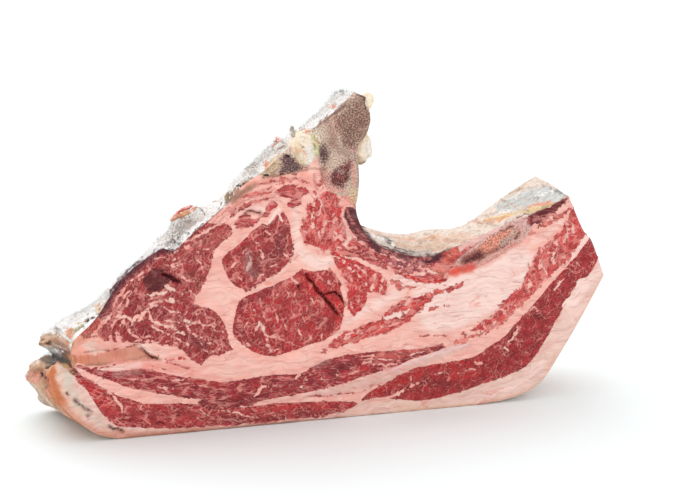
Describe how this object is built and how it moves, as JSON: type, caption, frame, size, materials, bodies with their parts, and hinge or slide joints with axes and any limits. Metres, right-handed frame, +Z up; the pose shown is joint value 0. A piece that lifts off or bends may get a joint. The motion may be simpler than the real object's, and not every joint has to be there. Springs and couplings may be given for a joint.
{
  "type": "bone-in rib steak",
  "caption": "Thick slice of aged beef rib with its chine and rib bones, standing on its fat edge.",
  "frame": {"origin": "middle of the steak's box, on the floor it stands on", "axes": "+X along the slice from the lobe of back fat to the rib end, +Y through its thickness from the shown cut face to the other, +Z up from the fat edge"},
  "size_m": [0.3952, 0.064, 0.2245],
  "materials": {
    "lean_meat": "moist, marbled",
    "seam_fat": "waxy, slightly moist",
    "outer_fat": "waxy, dried",
    "bone": "sawn, porous",
    "ligament": "fibrous",
    "cartilage": "smooth, moist"
  },
  "bodies": {
    "root": {"eye_muscle": "lean_meat", "inner_muscle": "lean_meat", "chine_muscle": "lean_meat", "cap_muscle": "lean_meat", "fan_muscle": "lean_meat", "tongue_muscle": "lean_meat", "rib_muscle": "lean_meat", "upper_strap": "lean_meat", "lower_strap": "lean_meat", "flank_muscle": "lean_meat", "flank_band": "lean_meat", "seam_fat": "seam_fat", "fat_cap": "outer_fat", "fat_nub": "outer_fat", "chine_bone": "bone", "feather_bone": "bone", "rib_bone": "bone", "back_strap": "ligament", "cartilage_bulb": "cartilage", "cartilage_pad": "cartilage"}
  },
  "joints": []
}
